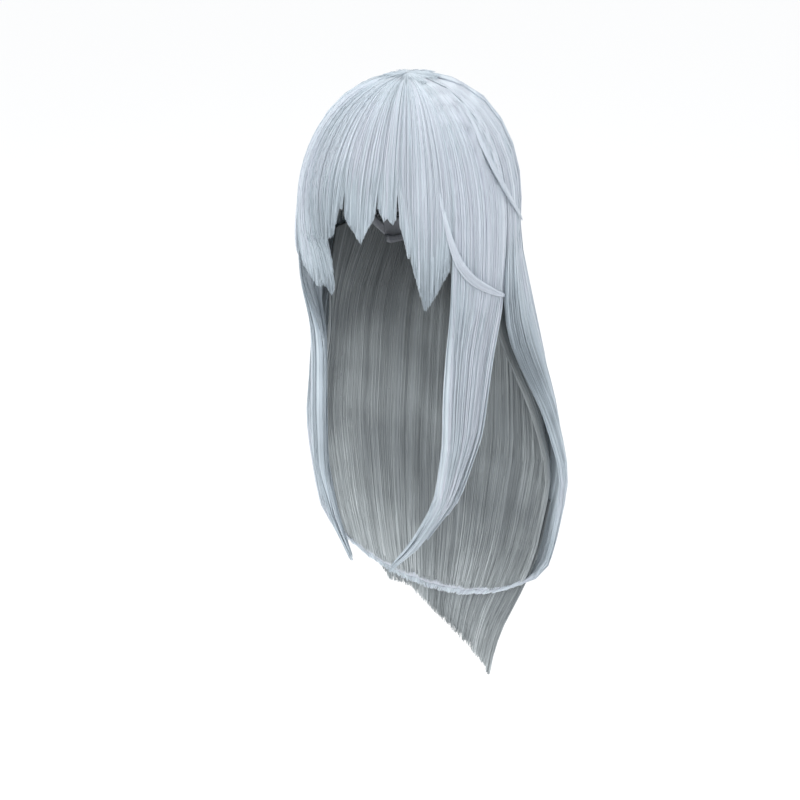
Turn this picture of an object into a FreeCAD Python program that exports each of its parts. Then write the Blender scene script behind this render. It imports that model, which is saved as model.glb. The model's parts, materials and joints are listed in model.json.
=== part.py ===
import FreeCAD, Part
import math
import os
import Sketcher
from FreeCAD import Placement, Rotation, Vector

# Long costume wig, in millimetres. +Z is up, the face opening looks along -Y,
# the wearer's left is +X, and the origin is the middle of the head at ear level.

doc = FreeCAD.newDocument("costume_wig")
sheet = doc.addObject("Spreadsheet::Sheet", "sizes")

SIZES = [
    # the head that the cap is made for, as half sizes of an egg-shaped solid
    ("head_half_width", 77), ("head_half_length", 96), ("head_height", 122),
    ("cap_slack", 3.0), ("seat_gap", 0.3), ("reach", 320),
    # the sewn cap
    ("net_thick", 0.9), ("band_thick", 1.3), ("band_width", 12), ("ribbon_thick", 0.8), ("ribbon_width", 11),
    ("hairline_y", -84), ("hairline_z", 62), ("temple_y", -58), ("temple_z", 34),
    ("tab_front_y", -42), ("tab_back_y", -12), ("tab_z", -9), ("tab_height", 30), ("tab_margin", 4),
    ("ear_front_y", -3), ("ear_back_y", 14), ("ear_z", 15),
    ("nape_side_y", 58), ("nape_side_z", -42), ("nape_y", 84), ("nape_z", -56), ("nape_panel_height", 30),
    ("stay_width", 4), ("stay_length", 24), ("ribbon_rise", 2),
    # machine-sewn hair tracks
    ("weft_thick", 1.2), ("weft_height", 3.2), ("weft_rows", 6), ("weft_low_z", -22), ("weft_pitch", 18),
    ("weft_tilt", 14), ("weft_front", 62), ("crown_patch_radius", 30),
    # the two adjusters at the nape
    ("adjuster_axis_y", 33), ("adjuster_radius", 57.3), ("adjuster_z", -45), ("adjuster_height", 9),
    ("adjuster_slope", 2.7), ("tape_thick", 0.8), ("loop_count", 4), ("loop_pitch", 8), ("loop_gap", 3.6),
    ("tape_start", 8), ("hook_start", 40), ("hook_span", 8), ("hook_thick", 1.2), ("strap_end", 68),
    ("anchor_span", 5), ("strap_height", 7), ("loop_margin", 2), ("hook_margin", 1),
    ("grip_height", 2.4), ("grip_depth", 0.8), ("grip_inset", 1),
    # the dome of hair that radiates from the crown, as its depth over the head
    ("hair_beside", 28), ("hair_behind", 27), ("hair_above", 25), ("fullness", 2.25), ("skirt_depth", 100),
    ("crown_y", -9), ("whorl_radius", 7),
    ("face_top_z", 66), ("face_top_x", 74), ("face_top_y", 91), ("hem_inner_x", 94), ("hem_inner_y", 109),
    # where one section of the dome ends and the next begins, in degrees round the crown from the front
    ("centre_left", 9), ("centre_right", -11), ("fringe_left", 28), ("fringe_right", -20),
    ("side_left", 50), ("side_right", -50), ("temple_end", 97), ("ear_end", 137),
    # the cut of the fringe: its middle point, its two side points and where it meets the side hair
    ("vee_x", 9), ("vee_z", 17), ("side_tip_x", 66), ("side_tip_z", -48),
    ("side_hem_x", 82), ("side_hem_z", -14),
    # the two long locks in front of the ears
    ("lock_hem_z", -78), ("lock_pivot_x", 78), ("lock_turn", 60), ("lock_tip_z", -376),
    ("lock_inset", 1), ("lock_bury", 1), ("lock_clear", 0.75),
    # the long hair at the back
    ("back_pivot_y", 66), ("back_pivot_z", 30), ("seam_radius", 80),
    ("back_layer", 13), ("under_layer", 9), ("hem_mid_z", -389), ("hem_half_width", 166),
    ("hem_depth", 98), ("under_tip_x", 88), ("under_tip_z", -584), ("tip_blunt", 6), ("panel_half_width", 52),
]

for row, (alias, value) in enumerate(SIZES, start=1):
    sheet.set("A%d" % row, alias)
    sheet.set("B%d" % row, str(value))
    sheet.setAlias("B%d" % row, alias)
doc.recompute()

nodes = []
UP = Vector(0, 0, 1)


def size(alias):
    return getattr(sheet, alias)


def measure(text):
    """The present value of an expression."""
    return float(sheet.evalExpression(str(text)))


def bind(item, **expressions):
    """Tie properties to cells; a double underscore stands for a dot."""
    for name, text in expressions.items():
        item.setExpression(name.replace("__", "."), str(text))
    return item


def place(item, x="0", y="0", z="0"):
    return bind(item, Placement__Base__x=x, Placement__Base__y=y, Placement__Base__z=z)


def part(item, label):
    item.Label = label
    nodes.append(item)
    return item


def cut(name, base, tool):
    item = doc.addObject("Part::Cut", name)
    item.Base = base
    item.Tool = tool
    return item


def common(name, *items):
    result = items[0]
    for number, other in enumerate(items[1:], start=1):
        last = number == len(items) - 1
        step = doc.addObject("Part::Common", name if last else "%s_step%d" % (name, number))
        step.Base = result
        step.Tool = other
        result = step
    return result


def fuse(name, *items):
    item = doc.addObject("Part::MultiFuse", name)
    item.Shapes = list(items)
    return item


def rounded(share, power):
    """A cosine or sine reshaped so that the oval it draws is fuller at the corners than an ellipse."""
    return math.copysign(abs(share) ** (2 / power), share)


def ring(z, half_width, half_length, x=0, y=0, turn=0, sides=24, power=2):
    """Corners of a level oval with flat sides, turned about its own middle."""
    corners = []
    for number in range(sides):
        angle = math.radians(360 * number / sides)
        corners.append(Vector(half_width * rounded(math.cos(angle), power),
                              half_length * rounded(math.sin(angle), power), 0))
    spin = Rotation(UP, turn)
    return [spin.multVec(corner) + Vector(x, y, z) for corner in corners]


FLAT = 1e-5    # a corner this near the plane of the other three lies in it


def facets(name, rings):
    """A closed solid of flat faces through rings of corners, listed in order of height."""
    faces = []
    for below, above in zip(rings, rings[1:]):
        for number in range(len(below)):
            after = (number + 1) % len(below)
            quad = [below[number], below[after], above[after], above[number]]
            normal = (quad[1] - quad[0]).cross(quad[2] - quad[0]).normalize()
            if abs(normal.dot(quad[3] - quad[0])) < FLAT:
                faces.append(Part.Face(Part.makePolygon(quad + quad[:1])))
            else:
                faces.append(Part.Face(Part.makePolygon([quad[0], quad[1], quad[2], quad[0]])))
                faces.append(Part.Face(Part.makePolygon([quad[0], quad[2], quad[3], quad[0]])))
    for end in (rings[0], rings[-1]):
        faces.append(Part.Face(Part.makePolygon(end + end[:1])))
    shape = Part.Solid(Part.Shell(faces))
    if shape.Volume < 0:
        shape.reverse()
    item = doc.addObject("Part::Feature", name)
    item.Shape = shape
    return item


LEVELS = [18, 34, 48, 61, 73, 84]


def egg_rings(half_width, half_length, height, low_levels, power=2):
    """Rings of an egg shape at the given angles of latitude."""
    rings = []
    for level in low_levels + LEVELS:
        up, out = (rounded(turned(math.radians(level)), power) for turned in (math.sin, math.cos))
        rings.append(ring(height * up, half_width * out, half_length * out, power=power))
    return rings


def egg(name, grow):
    """The head's egg shape, flat-sided, grown by a length."""
    return facets(name, egg_rings(size("head_half_width") + grow, size("head_half_length") + grow,
                                  size("head_height") + grow, [-36, -18, 0]))


def layer(name, inside, outside):
    return cut(name, egg(name + "_outer", outside), egg(name + "_inner", inside))


def box(name, low, high):
    """A box between two corners, each corner three expressions."""
    item = doc.addObject("Part::Box", name)
    bind(item, Length="(%s) - (%s)" % (high[0], low[0]), Width="(%s) - (%s)" % (high[1], low[1]),
         Height="(%s) - (%s)" % (high[2], low[2]))
    return place(item, *low)


def outline(name, points, side_view):
    """A closed sketch of straight lines, seen from the side (y, z) or from the front (x, z)."""
    sketch = doc.addObject("Sketcher::SketchObject", name)
    turn = Rotation(Vector(1, 1, 1), 120) if side_view else Rotation(Vector(1, 0, 0), 90)
    sketch.Placement = Placement(Vector(), turn)
    corners = [Vector(measure(across), measure(upward), 0) for across, upward in points]
    count = len(points)
    for number in range(count):
        sketch.addGeometry(Part.LineSegment(corners[number], corners[(number + 1) % count]), False)
    for number in range(count):
        sketch.addConstraint(Sketcher.Constraint("Coincident", number, 2, (number + 1) % count, 1))
    for number, (across, upward) in enumerate(points):
        corner = corners[number]
        for kind, text, value in (("DistanceX", across, corner.x), ("DistanceY", upward, corner.y)):
            index = sketch.addConstraint(Sketcher.Constraint(kind, -1, 1, number, 1, value))
            sketch.setExpression("Constraints[%d]" % index, str(text))
    return sketch


def prism(name, points, side_view, forward="sizes.reach", backward="sizes.reach"):
    """An outline drawn out sideways, or for a front view forwards along -Y."""
    item = doc.addObject("Part::Extrusion", name)
    item.Base = outline(name + "_outline", points, side_view)
    item.DirMode = "Custom"
    item.Dir = Vector(1, 0, 0) if side_view else Vector(0, -1, 0)
    item.Solid = True
    return bind(item, LengthFwd=forward, LengthRev=backward)


def sector(name, start, end, centre_y="sizes.crown_y"):
    """A wedge of a tall cylinder between two angles counted from the front towards the wearer's left."""
    item = doc.addObject("Part::Cylinder", name)
    item.Placement = Placement(Vector(), Rotation(UP, 1))
    bind(item, Radius="sizes.reach", Height="2 * sizes.reach", Angle="(%s) - (%s)" % (end, start),
         Placement__Rotation__Angle="(%s) - 90" % start)
    return place(item, y=centre_y, z="-sizes.reach")


# ---- the sewn cap -------------------------------------------------------------------------------

SLACK = size("cap_slack")
BAND_OUT = SLACK + size("band_thick")
RIBBON_IN = BAND_OUT + size("seat_gap")
RIBBON_OUT = RIBBON_IN + size("ribbon_thick")
WEFT_OUT = RIBBON_IN + size("weft_thick")
HAIR_IN = WEFT_OUT + size("seat_gap")

RIM = [
    ("-sizes.reach", "sizes.hairline_z"), ("sizes.hairline_y", "sizes.hairline_z"),
    ("sizes.temple_y", "sizes.temple_z"), ("sizes.tab_front_y", "sizes.tab_z + sizes.seat_gap"),
    ("sizes.tab_front_y + sizes.tab_margin", "sizes.tab_z"),
    ("sizes.tab_back_y - sizes.tab_margin", "sizes.tab_z"),
    ("sizes.tab_back_y", "sizes.tab_z + sizes.seat_gap"), ("sizes.ear_front_y", "sizes.ear_z"),
    ("sizes.ear_back_y", "sizes.ear_z + sizes.seat_gap"), ("sizes.nape_side_y", "sizes.nape_side_z"),
    ("sizes.nape_y", "sizes.nape_z"), ("sizes.reach", "sizes.nape_z"),
]
TOP = [("sizes.reach", "sizes.reach"), ("-sizes.reach", "sizes.reach")]


def raised(points, lift):
    return [(across, "%s + %s" % (upward, lift)) for across, upward in points]


rim = prism("rim_region", RIM + TOP, True)
inner_rim = prism("inner_rim_region", raised(RIM, "sizes.band_width") + TOP, True)
band_layer = layer("band_layer", SLACK, BAND_OUT)
net_layer = layer("net_layer", SLACK, SLACK + size("net_thick"))
ribbon_layer = layer("ribbon_layer", RIBBON_IN, RIBBON_OUT)
weft_layer = layer("weft_layer", RIBBON_IN, WEFT_OUT)
rim_band = cut("rim_band", common("rim_strip", band_layer, rim), inner_rim)

LEFT = ("0", "sizes.reach")
RIGHT = ("-sizes.reach", "0")


def half_box(name, low, high):
    """Everything between two places across the wearer."""
    return box(name, (low, "-sizes.reach", "-2 * sizes.reach"), (high, "sizes.reach", "sizes.reach"))


TAB_TOP = "sizes.tab_z + sizes.tab_height"
PANEL_TOP = "sizes.nape_z + sizes.nape_panel_height"
tab_box = box("tab_box", ("-sizes.reach", "sizes.tab_front_y - sizes.tab_margin", "-sizes.reach"),
              ("sizes.reach", "sizes.tab_back_y + sizes.tab_margin", TAB_TOP))
nape_box = box("nape_box", ("-sizes.reach", "sizes.nape_side_y", "-sizes.reach"),
               ("sizes.reach", "sizes.reach", PANEL_TOP))
front_box = box("front_box", ("-sizes.reach", "-sizes.reach", "-sizes.reach"),
                ("sizes.reach", "sizes.tab_front_y - sizes.tab_margin", "sizes.reach"))
part(common("front_band", rim_band, front_box), "front_band")
part(common("nape_panel", common("nape_strip", band_layer, rim), nape_box), "nape_panel")
net = cut("net_open", common("net_over_rim", net_layer, inner_rim), tab_box)
part(cut("crown_net", net, nape_box), "crown_net")

for side, (low, high) in (("left", LEFT), ("right", RIGHT)):
    half = half_box("half_" + side, low, high)
    behind = box("behind_" + side, (low, "sizes.tab_back_y + sizes.tab_margin", "-sizes.reach"),
                 (high, "sizes.nape_side_y", "sizes.reach"))
    tab_strip = common("tab_strip_" + side, band_layer, rim)
    part(common("ear_tab_" + side, tab_strip, tab_box, half), "ear_tab_" + side)
    part(common("side_band_" + side, rim_band, behind), "side_band_" + side)
    stay = box("stay_box_" + side, (low, "(sizes.tab_front_y + sizes.tab_back_y - sizes.stay_width) / 2",
                                    "sizes.tab_z + sizes.tab_margin"),
               (high, "(sizes.tab_front_y + sizes.tab_back_y + sizes.stay_width) / 2",
                "sizes.tab_z + sizes.tab_margin + sizes.stay_length"))
    part(common("ear_stay_" + side, ribbon_layer, stay), "ear_stay_" + side)

HALF_RIBBON = "sizes.ribbon_width / 2"
patch_rod = doc.addObject("Part::Cylinder", "patch_rod")
bind(patch_rod, Radius="sizes.crown_patch_radius", Height="sizes.reach")
place(patch_rod, y="sizes.crown_y")
lengthwise = box("lengthwise_box", ("-" + HALF_RIBBON, "-sizes.reach", "-sizes.reach"),
                 (HALF_RIBBON, "sizes.reach", "sizes.reach"))
across = box("across_box",
             ("-sizes.reach", "sizes.ear_back_y - sizes.ribbon_width", "sizes.ear_z + sizes.ribbon_rise"),
             ("sizes.reach", "sizes.ear_back_y", "sizes.reach"))
ribbon_whole = common("ribbon_over_rim", ribbon_layer, rim)
ribbon_open = cut("ribbon_open", ribbon_whole, patch_rod)
part(common("centre_ribbon", ribbon_open, lengthwise), "centre_ribbon")
cross_ribbon = cut("cross_ribbon", common("cross_whole", ribbon_open, across), lengthwise)
for side, (low, high) in (("left", LEFT), ("right", RIGHT)):
    half = half_box("ribbon_half_" + side, low, high)
    part(common("cross_ribbon_" + side, cross_ribbon, half), "cross_ribbon_" + side)
part(common("crown_patch", weft_layer, patch_rod), "crown_patch")

front_gap = sector("front_gap", "-sizes.weft_front", "sizes.weft_front")
weft_gaps = fuse("weft_gaps", lengthwise, across, patch_rod, front_gap, tab_box)
weft_field = cut("weft_field", common("weft_over_rim", weft_layer, rim), weft_gaps)
for number in range(1, int(size("weft_rows")) + 1):
    slab = doc.addObject("Part::Box", "weft_slab_%d" % number)
    slab.Placement = Placement(Vector(), Rotation(Vector(1, 0, 0), -1))
    bind(slab, Length="2 * sizes.reach", Width="2 * sizes.reach", Height="sizes.weft_height",
         Placement__Rotation__Angle="-sizes.weft_tilt")
    place(slab, "-sizes.reach", "sizes.nape_y - 2 * sizes.reach * cos(sizes.weft_tilt)",
          "sizes.weft_low_z + %d * sizes.weft_pitch + 2 * sizes.reach * sin(sizes.weft_tilt)" % (number - 1))
    part(common("weft_row_%d" % number, weft_field, slab), "weft_row_%d" % number)

# ---- the nape adjusters: a ladder of loops, a hook and its elastic strap on each side -------------


def nape_ring(name, outside, thick, height, low_z, start, end, leaning=True):
    """Part of a ring round the adjusters' axis, from start to end degrees off the back."""
    rings = []
    for which, radius in (("out", outside), ("in", "%s - %s" % (outside, thick))):
        item = doc.addObject("Part::Cone" if leaning else "Part::Cylinder", "%s_%s" % (name, which))
        item.Placement = Placement(Vector(), Rotation(UP, 1))
        bind(item, Height=height, Angle="(%s) - (%s)" % (end, start),
             Placement__Rotation__Angle="90 - (%s)" % end)
        if leaning:
            lean = "sizes.adjuster_slope * (%s) / sizes.adjuster_height / 2" % height
            bind(item, Radius1="%s - %s" % (radius, lean), Radius2="%s + %s" % (radius, lean))
        else:
            bind(item, Radius=radius)
        rings.append(place(item, y="sizes.adjuster_axis_y", z=low_z))
    return cut(name, *rings)


HOOK_OUT = "(sizes.adjuster_radius - sizes.tape_thick - sizes.seat_gap)"
ADJUSTER_LOW = "sizes.adjuster_z - sizes.adjuster_height / 2"
STRAP_LOW = "sizes.adjuster_z - sizes.strap_height / 2"
HOOK_END = "(sizes.hook_start + sizes.hook_span)"
TAPE_END = "(sizes.tape_start + sizes.loop_count * sizes.loop_pitch + sizes.loop_gap)"
THROUGH = 5       # how far a cutter runs past each face of what it cuts
PAD_REACH = 14    # from the hook's outer face out past the cap


def mirrored(sign, start, end):
    return (start, end) if sign > 0 else ("-(%s)" % end, "-(%s)" % start)


for side, sign in (("left", 1), ("right", -1)):
    tape = nape_ring("tape_" + side, "sizes.adjuster_radius", "sizes.tape_thick", "sizes.adjuster_height",
                     ADJUSTER_LOW, *mirrored(sign, "sizes.tape_start", TAPE_END))
    windows = []
    for number in range(int(size("loop_count"))):
        start = "sizes.tape_start + %d * sizes.loop_pitch + (sizes.loop_pitch - sizes.loop_gap)" % number
        window = nape_ring("loop_%s_%d" % (side, number + 1),
                           "(sizes.adjuster_radius + %d)" % THROUGH, 2 * THROUGH,
                           "sizes.adjuster_height - 2 * sizes.loop_margin",
                           ADJUSTER_LOW + " + sizes.loop_margin",
                           *mirrored(sign, start, start + " + sizes.loop_gap"))
        windows.append(window)
    part(cut("loop_tape_" + side, tape, fuse("loops_" + side, *windows)), "loop_tape_" + side)
    plate = nape_ring("hook_plate_" + side, HOOK_OUT, "sizes.hook_thick",
                      "sizes.adjuster_height - 2 * sizes.hook_margin",
                      ADJUSTER_LOW + " + sizes.hook_margin", *mirrored(sign, "sizes.hook_start", HOOK_END))
    grip = nape_ring("hook_grip_" + side, "(%s - sizes.hook_thick / 2)" % HOOK_OUT,
                     "(sizes.hook_thick / 2 + sizes.grip_depth)", "sizes.grip_height",
                     "sizes.adjuster_z - sizes.grip_height / 2",
                     *mirrored(sign, "sizes.hook_start + sizes.grip_inset", HOOK_END + " - sizes.grip_inset"),
                     leaning=False)
    part(fuse("adjuster_hook_" + side, plate, grip), "adjuster_hook_" + side)
    part(nape_ring("adjuster_strap_" + side, HOOK_OUT, "sizes.hook_thick", "sizes.strap_height", STRAP_LOW,
                   *mirrored(sign, HOOK_END, "sizes.strap_end")), "adjuster_strap_" + side)
    pad_reach = nape_ring("pad_reach_" + side, "(%s + %d)" % (HOOK_OUT, PAD_REACH), PAD_REACH,
                          "sizes.strap_height", STRAP_LOW,
                          *mirrored(sign, "sizes.strap_end - sizes.anchor_span", "sizes.strap_end"))
    pad_inside = egg("pad_inside_" + side, SLACK - size("seat_gap"))
    part(common("strap_anchor_" + side, pad_inside, pad_reach), "strap_anchor_" + side)

# ---- the dome of hair -----------------------------------------------------------------------------


def dome_solid(name, half_width, half_length, height, power):
    """The egg's upper half on an upright wall."""
    return facets(name, [ring(-size("skirt_depth"), half_width, half_length, power=power)]
                  + egg_rings(half_width, half_length, height, [0], power))


HEAD = [size(name) for name in ("head_half_width", "head_half_length", "head_height")]
DOME = [half + size(name) for half, name in zip(HEAD, ("hair_beside", "hair_behind", "hair_above"))]
HOLLOW = [half + HAIR_IN for half in HEAD]
dome = cut("dome", dome_solid("dome_outside", *DOME, size("fullness")), dome_solid("dome_inside", *HOLLOW, 2))
whorl_rod = doc.addObject("Part::Cylinder", "whorl_rod")
bind(whorl_rod, Radius="sizes.whorl_radius", Height="sizes.reach")
place(whorl_rod, y="sizes.crown_y")
part(common("crown_whorl", dome, whorl_rod), "crown_whorl")
dome_body = cut("dome_body", dome, whorl_rod)

face_space = facets("face_space", [
    ring(-size("skirt_depth"), size("hem_inner_x"), size("hem_inner_y")),
    ring(size("face_top_z"), size("face_top_x"), size("face_top_y")),
])
front_dome = cut("front_dome", dome_body, face_space)

# the lower edge of the fringe seen from the front, from the wearer's right to left
FRINGE_HEM = [
    ("-sizes.reach", "sizes.side_hem_z"), ("-sizes.side_hem_x", "sizes.side_hem_z"),
    ("-sizes.side_tip_x", "sizes.side_tip_z"), (-48, -14), (-34, 8), (-21, 18), (-14, 44),
    ("sizes.vee_x", "sizes.vee_z"), (25, 46), (30, 37), (34, 42), (39, 35), (43, 40), (48, 27), (54, 3),
    ("sizes.side_tip_x", "sizes.side_tip_z"), (74, -38), ("sizes.side_hem_x", "sizes.side_hem_z"),
    ("sizes.reach", "sizes.side_hem_z"), ("sizes.reach", "sizes.reach"), ("-sizes.reach", "sizes.reach"),
]
fringe_cut = prism("fringe_cut", FRINGE_HEM, False, backward="0")

FRINGES = [
    ("fringe_centre", "sizes.centre_right", "sizes.centre_left"),
    ("fringe_left", "sizes.centre_left", "sizes.fringe_left"),
    ("fringe_right", "sizes.fringe_right", "sizes.centre_right"),
    ("side_fringe_left", "sizes.fringe_left", "sizes.side_left"),
    ("side_fringe_right", "sizes.side_right", "sizes.fringe_right"),
]
for label, start, end in FRINGES:
    part(common(label, front_dome, sector(label + "_sector", start, end), fringe_cut), label)


def knuckle(name, sign, grow):
    """A round bar along Y at a lock's pivot, as wide as the hair there."""
    item = doc.addObject("Part::Cylinder", name)
    item.Placement = Placement(Vector(), Rotation(Vector(1, 0, 0), 90))
    bind(item, Radius="sizes.head_half_width + sizes.hair_beside - sizes.lock_pivot_x + %s" % grow,
         Height="2 * sizes.reach")
    return place(item, "%d * sizes.lock_pivot_x" % sign, "sizes.reach", "sizes.lock_hem_z")


above_hem = box("above_hem", ("-sizes.reach", "-sizes.reach", "sizes.lock_hem_z"),
                ("sizes.reach", "sizes.reach", "sizes.reach"))
below_hem = box("below_hem", ("-sizes.reach", "-sizes.reach", "-2 * sizes.reach"),
                ("sizes.reach", "sizes.reach", "sizes.lock_hem_z"))
for side, sign in (("left", 1), ("right", -1)):
    start, end = mirrored(sign, "sizes.side_left", "sizes.temple_end")
    temple = common("temple_%s_full" % side, front_dome, sector("temple_%s_sector" % side, start, end))
    held = common("temple_%s_held" % side, temple, above_hem)
    part(cut("temple_hair_" + side, held, knuckle("socket_" + side, sign, "sizes.seat_gap")),
         "temple_hair_" + side)

# small locks that lie on the outside of the dome: angle from the front, height, half width, half thickness
SURFACE_LOCKS = {
    "jaw_lock_left": (1, [(42, 45, 2.0, 1.0), (45, 14, 6.0, 2.0), (49, -10, 7.5, 2.5), (56, -28, 8.5, 2.8),
                          (66, -42, 7.0, 2.3), (79, -56, 4.5, 1.6), (92, -66, 1.5, 0.8)]),
    "jaw_lock_right": (-1, [(43, 42, 2.0, 1.0), (46, 12, 6.0, 2.0), (51, -12, 7.5, 2.5), (58, -30, 7.5, 2.5),
                            (68, -44, 5.5, 2.0), (77, -56, 3.5, 1.4), (86, -64, 1.5, 0.8)]),
    "ear_flick_left": (1, [(75, 112, 2.0, 0.8), (73, 94, 4.0, 1.6), (77, 71, 5.0, 1.8), (85, 48, 4.5, 1.8),
                           (97, 24, 3.0, 1.3), (113, 2, 1.2, 0.7)]),
}


def on_dome(angle, z, lift):
    """The point over the dome at an angle from the front and a height, lifted outwards."""
    across, along = math.sin(math.radians(angle)), -math.cos(math.radians(angle))
    power = size("fullness")
    level = (1 - (max(z, 0) / DOME[2]) ** power) ** (1 / power)
    out = level / (abs(across / DOME[0]) ** power + abs(along / DOME[1]) ** power) ** (1 / power) + lift
    return out * across, out * along


for label, (sign, stations) in SURFACE_LOCKS.items():
    rings = []
    for angle, z, half_width, half_thick in stations:
        x, y = on_dome(angle, z, half_thick + size("lock_clear"))
        rings.append(ring(z, half_width, half_thick, sign * x, y, sign * angle, 8))
    part(facets(label, rings), label)

# the seam between the fixed hair and the long hair that swings is part of a cylinder about the swing's axis


def seam_rod(name, radius):
    item = doc.addObject("Part::Cylinder", name)
    item.Placement = Placement(Vector(), Rotation(Vector(0, 1, 0), 90))
    bind(item, Radius=radius, Height="2 * sizes.reach")
    return place(item, "-sizes.reach", "sizes.back_pivot_y", "sizes.back_pivot_z")


below_pivot = box("below_pivot", ("-sizes.reach", "-sizes.reach", "-sizes.reach"),
                  ("sizes.reach", "sizes.reach", "sizes.back_pivot_z"))
below_seam = cut("below_seam", below_pivot, seam_rod("seam_in", "sizes.seam_radius"))
back_dome = cut("back_dome", dome_body, below_seam)
back_wedge = sector("back_wedge", "sizes.ear_end", "360 - sizes.ear_end")
for side, sign in (("left", 1), ("right", -1)):
    wedge = sector("side_hair_%s_sector" % side, *mirrored(sign, "sizes.temple_end", "sizes.ear_end"))
    part(common("side_hair_" + side, back_dome, wedge), "side_hair_" + side)
    low, high = LEFT if sign > 0 else RIGHT
    half = half_box("back_half_" + side, low, high)
    part(common("back_crown_" + side, back_dome, back_wedge, half), "back_crown_" + side)

# ---- the two long locks in front of the ears --------------------------------------------------------

# height below the lock's hem as a share of its length, x and y of the middle, half width, half thickness
LOCKS = {
    "left": (1, [(0.0, 87, -43, 31, 6.0), (0.17, 92, -54, 27, 8), (0.42, 88, -57, 25, 8.5),
                 (0.68, 71, -62, 19, 7.5), (0.89, 38, -68, 13, 6), (1.0, 10, -74, 3, 1.5)]),
    "right": (-1, [(0.0, 88, -43, 29, 7.0), (0.17, 78, -54, 24, 12), (0.42, 79, -57, 23, 12.5),
                   (0.66, 77, -60, 19, 10.5), (0.87, 58, -66, 12, 7), (1.0, 33, -72, 3, 1.5)]),
}
for side, (sign, stations) in LOCKS.items():
    rings = []
    for share, x, y, half_width, half_thick in stations:
        z = size("lock_hem_z") + size("lock_bury") + share * (size("lock_tip_z") - size("lock_hem_z"))
        rings.append(ring(z, half_width, half_thick, sign * x, y, sign * size("lock_turn"), 12))
    blade = facets("lock_%s_blade" % side, rings)
    start, end = mirrored(sign, "sizes.side_left + sizes.lock_inset", "sizes.temple_end - sizes.lock_inset")
    head_part = common("lock_%s_top" % side, front_dome, sector("lock_%s_sector" % side, start, end),
                       knuckle("knuckle_" + side, sign, "0"))
    part(fuse("side_lock_" + side, head_part, blade), "side_lock_" + side)

# ---- the long hair at the back ----------------------------------------------------------------------

# height, y of the middle, half width and half depth of the outer face of the long hair
BACK = [
    (0, 6, 107, 114), (-30, 11, 109, 111), (-70, 21, 118, 96), (-110, 30, 128, 77), (-150, 38, 138, 65),
    (-197, 46, 149, 55), (-277, 55, 165, 41), (-309, 55, 164, 38), (-389, 55, 153, 35), (-444, 54, 137, 32),
    (-500, 52, 116, 30), (-545, 52, 106, 28), (-600, 52, 100, 27),
]


def back_shape(name, inset):
    return facets(name, [ring(z, half_width - inset, half_depth - inset, 0, y)
                         for z, y, half_width, half_depth in BACK])


MIDDLE = size("back_layer") + size("seat_gap")
outer_face = back_shape("back_face", 0)
layer_face = back_shape("layer_face", size("back_layer"))
under_face = back_shape("under_face", MIDDLE)
core_face = back_shape("core_face", MIDDLE + size("under_layer"))

# the space behind the neck and shoulders, seen from the side, from its top down and back up
BEHIND_NECK = [(14, 0), (20, -90), (48, -200), (52, -700), ("sizes.reach", -700), ("sizes.reach", 0)]
behind_neck = prism("behind_neck", BEHIND_NECK, True)
seam_out = seam_rod("seam_out", "sizes.seam_radius + sizes.seat_gap")
hem_oval = doc.addObject("Part::Ellipse", "hem_oval")
hem_oval.Placement = Placement(Vector(), Rotation(Vector(1, 0, 0), 90))
bind(hem_oval, MajorRadius="sizes.hem_half_width", MinorRadius="sizes.hem_depth")
place(hem_oval, z="sizes.hem_mid_z")
hem_round = doc.addObject("Part::Extrusion", "hem_round")
hem_round.Base = hem_oval
hem_round.DirMode = "Custom"
hem_round.Dir = Vector(0, 1, 0)
hem_round.Solid = True
bind(hem_round, LengthFwd="sizes.reach", LengthRev="sizes.reach")
over_hem = box("over_hem", ("-sizes.reach", "-sizes.reach", "sizes.hem_mid_z"),
               ("sizes.reach", "sizes.reach", "0"))
hem_region = fuse("hem_region", hem_round, over_hem)
long_layer = common("long_layer", cut("long_shell", outer_face, layer_face), behind_neck, hem_region)
long_hair = cut("long_hair", long_layer, seam_out)

# the lower edge of the under layer seen from the front, from the wearer's right to left, then round its top
UNDER_HEM = [
    ("-sizes.reach", -60), ("-sizes.reach", -300), (-82, -430), (-60, -492), (-30, -470),
    (0, -520), (20, -500), (48, -548),
    ("sizes.under_tip_x - sizes.tip_blunt", "sizes.under_tip_z + sizes.seat_gap"),
    ("sizes.under_tip_x", "sizes.under_tip_z"), (96, -564), (96, -514),
    ("sizes.reach", -430), ("sizes.reach", -60),
]
under_cut = prism("under_cut", UNDER_HEM, False)
under_hair = common("under_hair", cut("under_shell", under_face, core_face), behind_neck, under_cut)
PANELS = [
    ("left", "sizes.panel_half_width", "sizes.reach"),
    ("centre", "-sizes.panel_half_width", "sizes.panel_half_width"),
    ("right", "-sizes.reach", "-sizes.panel_half_width"),
]
for side, low, high in PANELS:
    panel_box = half_box("panel_" + side, low, high)
    part(common("back_hair_" + side, long_hair, panel_box), "back_hair_" + side)
    part(common("under_layer_" + side, under_hair, panel_box), "under_layer_" + side)

doc.recompute()


def check(item, label):
    if "Invalid" in item.State or "Error" in item.State:
        raise RuntimeError("%s failed: %s" % (label, item.State))


for item in doc.Objects:
    check(item, item.Name)
for item in nodes:
    if item.Shape.isNull() or not item.Shape.isValid() or not item.Shape.Solids:
        raise RuntimeError("%s has no valid solid" % item.Label)
os.makedirs("parts", exist_ok=True)
for item in nodes:
    item.Shape.exportStep("parts/%s.step" % item.Label)
    reach = item.Shape.BoundBox
    print("%-24s solids %d  volume %9.0f  x %7.1f %7.1f  y %7.1f %7.1f  z %7.1f %7.1f" % (
        item.Label, len(item.Shape.Solids), item.Shape.Volume,
        reach.XMin, reach.XMax, reach.YMin, reach.YMax, reach.ZMin, reach.ZMax))
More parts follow.
